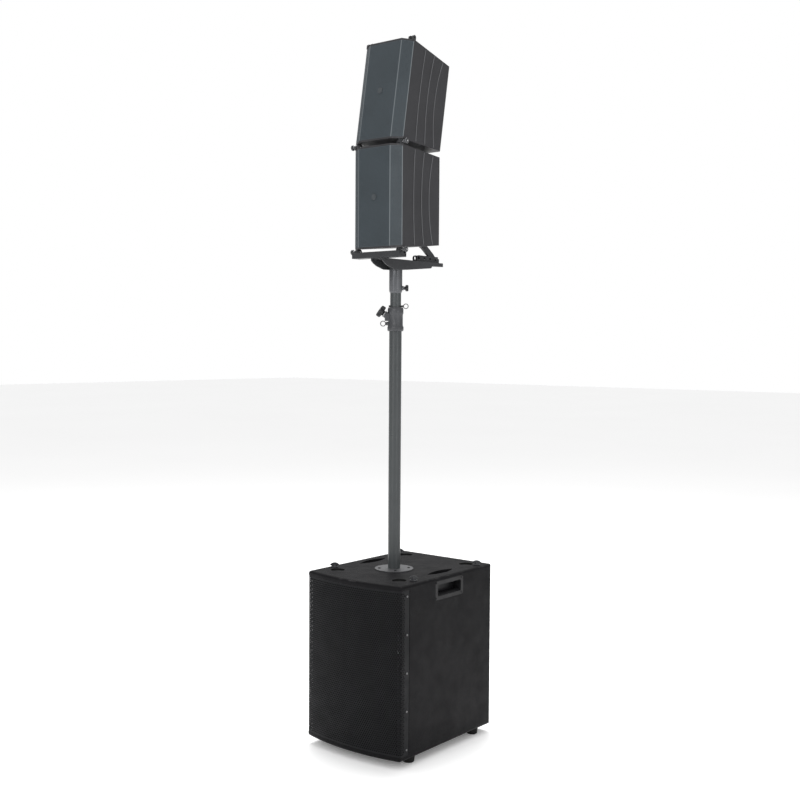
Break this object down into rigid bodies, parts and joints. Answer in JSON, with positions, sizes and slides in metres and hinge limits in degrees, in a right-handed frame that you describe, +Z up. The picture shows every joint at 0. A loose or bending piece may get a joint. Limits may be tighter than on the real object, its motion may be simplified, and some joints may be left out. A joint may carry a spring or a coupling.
{
  "type": "pa speaker",
  "caption": "Column PA speaker: powered bass box on feet, telescopic mast with clamp collar, swivel bracket and hinged slim top boxes that tilt.",
  "frame": {"origin": "on the floor under the middle of the subwoofer's footprint", "axes": "+Z up, +X to the right seen from the front, the grilles face -Y"},
  "size_m": [0.389, 0.5, 2.2539],
  "materials": {
    "cabinet_paint": "hard-wearing textured black paint on plywood",
    "grille_paint": "satin black powder coat on perforated steel",
    "steel_paint": "satin dark grey powder coat",
    "tube_paint": "satin grey powder coat on steel tube",
    "top_plastic": "fine-grained slate grey moulding",
    "top_grille": "satin slate blue-grey powder coat on fine perforated steel",
    "black_plastic": "grained black plastic",
    "paper_cone": "coated paper",
    "rubber": "matt moulded rubber",
    "zinc": "bright zinc plate",
    "plate_metal": "satin cast aluminium",
    "black_metal": "black zinc",
    "cap_grey": "grey plastic",
    "board_green": "circuit board lacquer"
  },
  "bodies": {
    "subwoofer": {"sub_cabinet": "cabinet_paint", "sub_baffle": "cabinet_paint", "sub_grille": "grille_paint", "grille_screws": "black_metal", "woofer_frame": "steel_paint", "woofer_surround": "rubber", "woofer_magnet": "zinc", "woofer_screws": "black_metal", "bass_ports": "black_plastic", "handles": "black_plastic", "body_screws": "black_metal", "stack_cups": "rubber", "rubber_feet": "rubber", "pole_plate": "plate_metal", "amp_plate": "steel_paint", "heat_sink": "steel_paint", "mains_inlet": "black_plastic", "signal_sockets": "black_plastic", "amp_board": "board_green", "pole_lower_tube": "tube_paint", "pole_collar": "steel_paint"},
    "sub_cone": {"woofer_cone": "paper_cone"},
    "latch_fl": {"latch_front_left": "black_plastic"},
    "latch_fr": {"latch_front_right": "black_plastic"},
    "latch_rl": {"latch_rear_left": "black_plastic"},
    "latch_rr": {"latch_rear_right": "black_plastic"},
    "switch": {"power_switch": "black_plastic"},
    "sub_knob": {"sub_level_knob": "cap_grey"},
    "tops_knob": {"tops_level_knob": "cap_grey"},
    "clamp_knob": {"collar_knob": "black_plastic"},
    "plunger": {"collar_plunger": "zinc"},
    "mast": {"pole_upper_tube": "tube_paint"},
    "lock_pin": {"safety_pin": "zinc"},
    "bracket": {"bracket_sleeve": "steel_paint", "bracket_beam": "steel_paint", "front_bar": "steel_paint", "tilt_plates": "steel_paint"},
    "swivel_knob": {"bracket_knob": "black_plastic"},
    "lower_box": {"lower_cabinet": "top_plastic", "lower_grille": "top_grille", "lower_badge": "zinc", "lower_driver": "steel_paint", "lower_horn": "black_plastic", "lower_rigging": "steel_paint", "lower_socket_panel": "black_plastic"},
    "lower_box_cone": {"lower_cone": "paper_cone"},
    "lower_left_pin": {"lower_pin_left": "zinc"},
    "lower_right_pin": {"lower_pin_right": "zinc"},
    "lower_link": {"lower_strut": "steel_paint"},
    "upper_box": {"upper_cabinet": "top_plastic", "upper_grille": "top_grille", "upper_badge": "zinc", "upper_driver": "steel_paint", "upper_horn": "black_plastic", "upper_rigging": "steel_paint", "upper_socket_panel": "black_plastic"},
    "upper_box_cone": {"upper_cone": "paper_cone"},
    "upper_left_pin": {"upper_pin_left": "zinc"},
    "upper_right_pin": {"upper_pin_right": "zinc"},
    "upper_link": {"upper_strut": "steel_paint"}
  },
  "joints": [
    {"name": "cone_travel", "type": "slide", "parent": "subwoofer", "child": "sub_cone", "axis": [0, 1, 0], "range_m": [-0.006, 0.006], "stiffness_N_per_m": 4000},
    {"name": "latch_fl_turn", "type": "hinge", "parent": "subwoofer", "child": "latch_fl", "pos_m": [-0.165, -0.132, 0.565], "axis": [0, 0, 1], "range_deg": [0, 90]},
    {"name": "latch_fr_turn", "type": "hinge", "parent": "subwoofer", "child": "latch_fr", "pos_m": [0.165, -0.132, 0.565], "axis": [0, 0, 1], "range_deg": [0, 90]},
    {"name": "latch_rl_turn", "type": "hinge", "parent": "subwoofer", "child": "latch_rl", "pos_m": [-0.165, 0.203, 0.565], "axis": [0, 0, 1], "range_deg": [0, 90]},
    {"name": "latch_rr_turn", "type": "hinge", "parent": "subwoofer", "child": "latch_rr", "pos_m": [0.165, 0.203, 0.565], "axis": [0, 0, 1], "range_deg": [0, 90]},
    {"name": "power_rocker", "type": "hinge", "parent": "subwoofer", "child": "switch", "pos_m": [0.03, 0.235, 0.2], "axis": [1, 0, 0], "range_deg": [-8, 8]},
    {"name": "sub_level_turn", "type": "hinge", "parent": "subwoofer", "child": "sub_knob", "pos_m": [0.025, 0.235, 0.392], "axis": [0, 1, 0], "range_deg": [-135, 135]},
    {"name": "tops_level_turn", "type": "hinge", "parent": "subwoofer", "child": "tops_knob", "pos_m": [0.075, 0.235, 0.392], "axis": [0, 1, 0], "range_deg": [-135, 135]},
    {"name": "clamp_knob_turn", "type": "hinge", "parent": "subwoofer", "child": "clamp_knob", "pos_m": [0, -0.027, 1.366], "axis": [-0.5792, -0.5792, 0.5736], "range_deg": [0, 180]},
    {"name": "plunger_pull", "type": "slide", "parent": "subwoofer", "child": "plunger", "axis": [-0.7771, -0.6293, 0], "range_m": [0, 0.006], "stiffness_N_per_m": 1500},
    {"name": "mast_raise", "type": "slide", "parent": "subwoofer", "child": "mast", "axis": [0, 0, 1], "range_m": [0, 0.5]},
    {"name": "lock_pin_pull", "type": "slide", "parent": "mast", "child": "lock_pin", "axis": [0.7771, 0.6293, 0], "range_m": [0, 0.06]},
    {"name": "bracket_swivel", "type": "hinge", "parent": "mast", "child": "bracket", "pos_m": [0, -0.027, 1.51], "axis": [0, 0, 1], "continuous": true},
    {"name": "swivel_knob_turn", "type": "hinge", "parent": "bracket", "child": "swivel_knob", "pos_m": [0, -0.027, 1.474], "axis": [0.7771, 0.6293, 0], "range_deg": [0, 180]},
    {"name": "lower_tilt", "type": "hinge", "parent": "bracket", "child": "lower_box", "pos_m": [0, -0.112, 1.587], "axis": [-1, 0, 0], "range_deg": [-3, 3]},
    {"name": "lower_link_swing", "type": "hinge", "parent": "bracket", "child": "lower_link", "pos_m": [0, 0.172, 1.577], "axis": [-1, 0, 0], "range_deg": [-9, 9]},
    {"name": "lower_cone_travel", "type": "slide", "parent": "lower_box", "child": "lower_box_cone", "axis": [0, 1, 0], "range_m": [-0.003, 0.003], "stiffness_N_per_m": 2500},
    {"name": "lower_left_pin_pull", "type": "slide", "parent": "bracket", "child": "lower_left_pin", "axis": [-1, 0, 0], "range_m": [0, 0.03]},
    {"name": "lower_right_pin_pull", "type": "slide", "parent": "bracket", "child": "lower_right_pin", "axis": [1, 0, 0], "range_m": [0, 0.03]},
    {"name": "upper_tilt", "type": "hinge", "parent": "lower_box", "child": "upper_box", "pos_m": [0, -0.112, 1.919], "axis": [-1, 0, 0], "range_deg": [-5, 4]},
    {"name": "upper_link_swing", "type": "hinge", "parent": "lower_box", "child": "upper_link", "pos_m": [0, 0.111, 1.868], "axis": [-1, 0, 0], "range_deg": [-6, 6]},
    {"name": "upper_cone_travel", "type": "slide", "parent": "upper_box", "child": "upper_box_cone", "axis": [0, 0.9863, -0.165], "range_m": [-0.003, 0.003], "stiffness_N_per_m": 2500},
    {"name": "upper_left_pin_pull", "type": "slide", "parent": "lower_box", "child": "upper_left_pin", "axis": [-1, 0, 0], "range_m": [0, 0.03]},
    {"name": "upper_right_pin_pull", "type": "slide", "parent": "lower_box", "child": "upper_right_pin", "axis": [1, 0, 0], "range_m": [0, 0.03]}
  ],
  "couplings": [
    {"joint": "lower_link_swing", "follows": "lower_tilt", "ratio": -2.1969},
    {"joint": "upper_link_swing", "follows": "upper_tilt", "ratio": 0.1655}
  ]
}
